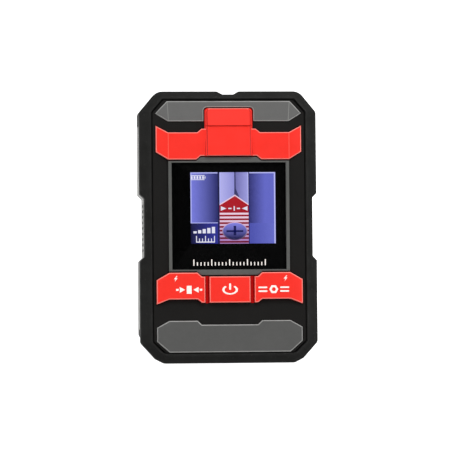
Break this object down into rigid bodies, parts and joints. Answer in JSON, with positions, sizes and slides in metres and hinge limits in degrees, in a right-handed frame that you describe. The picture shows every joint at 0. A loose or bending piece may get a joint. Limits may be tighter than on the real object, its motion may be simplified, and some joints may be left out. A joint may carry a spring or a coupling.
{
  "type": "stud finder",
  "caption": "Hand-held wall scanner with a rubber-edged flat body, colour display, red keys and sliding battery door.",
  "frame": {"origin": "centre of the plane it rests on: under the middle of the body, at the faces of the felt pads", "axes": "+Z out of the display, +Y towards the end with the marking notch, +X to the right for someone who reads the display"},
  "size_m": [0.083, 0.127, 0.027],
  "materials": {
    "grey_shell": "fine moulded texture",
    "black_case": "fine moulded texture",
    "soft_rubber": "soft-touch matte",
    "grey_trim": "satin",
    "red_plastic": "satin",
    "dark_red_rubber": "matte",
    "bezel_grey": "satin",
    "clear_window": "clear, polished",
    "black_print": "printed",
    "foam": "foam",
    "lcd_glass": "lit colour picture",
    "white_diffuser": "white diffuser",
    "tinned_steel": "tin plated",
    "natural_plastic": "natural",
    "flex_film": "amber film",
    "green_board": "solder mask",
    "chip_black": "moulded epoxy",
    "chip_tan": "ceramic",
    "silver_can": "satin",
    "copper": "lacquered copper",
    "key_steel": "nickel plated",
    "cell_jacket": "printed sleeve",
    "wire_red": "PVC",
    "wire_black": "PVC",
    "felt": "felt",
    "label_film": "plain printed film"
  },
  "bodies": {
    "case": {"rear_housing": "grey_shell", "front_housing": "black_case", "rubber_frame": "soft_rubber", "upper_panel": "grey_trim", "lower_panel": "grey_trim", "red_crest": "red_plastic", "key_frame": "dark_red_rubber", "display_bezel": "bezel_grey", "display_lens": "clear_window", "lens_mask": "black_print", "lcd_gasket": "foam", "lcd_panel": "lcd_glass", "backlight": "white_diffuser", "lcd_tray": "tinned_steel", "lcd_holder": "natural_plastic", "lcd_flex": "flex_film", "flex_connector": "natural_plastic", "main_board": "green_board", "microcontroller": "chip_black", "crystal": "silver_can", "buzzer": "chip_black", "filter_capacitors": "silver_can", "chip_parts": "chip_tan", "power_inductor": "chip_black", "voltage_regulator": "chip_black", "switch_bases": "key_steel", "board_screws": "key_steel", "sensor_board": "green_board", "sensor_plates": "copper", "coil_former": "natural_plastic", "metal_coil": "copper", "sensor_chips": "chip_black", "sensor_header": "chip_black", "board_socket": "chip_black", "cell_a": "cell_jacket", "cell_b": "cell_jacket", "cell_c": "cell_jacket", "contact_springs": "tinned_steel", "contact_plates": "tinned_steel", "battery_lead_red": "wire_red", "battery_lead_black": "wire_black", "housing_screws": "key_steel", "felt_pads": "felt", "rating_label": "label_film"},
    "stud_key": {"stud_key": "red_plastic"},
    "stud_plunger": {"stud_plunger": "chip_black"},
    "power_key": {"power_key": "red_plastic"},
    "power_plunger": {"power_plunger": "chip_black"},
    "metal_key": {"metal_key": "red_plastic"},
    "metal_plunger": {"metal_plunger": "chip_black"},
    "door": {"battery_door": "grey_shell", "door_pad": "foam"}
  },
  "joints": [
    {"name": "stud_key_press", "type": "slide", "parent": "case", "child": "stud_key", "axis": [0, 0, -1], "range_m": [0, 0.0004], "stiffness_N_per_m": 2000},
    {"name": "stud_plunger_press", "type": "slide", "parent": "case", "child": "stud_plunger", "axis": [0, 0, -1], "range_m": [0, 0.0004]},
    {"name": "power_key_press", "type": "slide", "parent": "case", "child": "power_key", "axis": [0, 0, -1], "range_m": [0, 0.0004], "stiffness_N_per_m": 2000},
    {"name": "power_plunger_press", "type": "slide", "parent": "case", "child": "power_plunger", "axis": [0, 0, -1], "range_m": [0, 0.0004]},
    {"name": "metal_key_press", "type": "slide", "parent": "case", "child": "metal_key", "axis": [0, 0, -1], "range_m": [0, 0.0004], "stiffness_N_per_m": 2000},
    {"name": "metal_plunger_press", "type": "slide", "parent": "case", "child": "metal_plunger", "axis": [0, 0, -1], "range_m": [0, 0.0004]},
    {"name": "battery_door_slide", "type": "slide", "parent": "case", "child": "door", "axis": [0, -1, 0], "range_m": [0, 0.042]}
  ],
  "couplings": [
    {"joint": "stud_plunger_press", "follows": "stud_key_press", "ratio": 1},
    {"joint": "power_plunger_press", "follows": "power_key_press", "ratio": 1},
    {"joint": "metal_plunger_press", "follows": "metal_key_press", "ratio": 1}
  ]
}
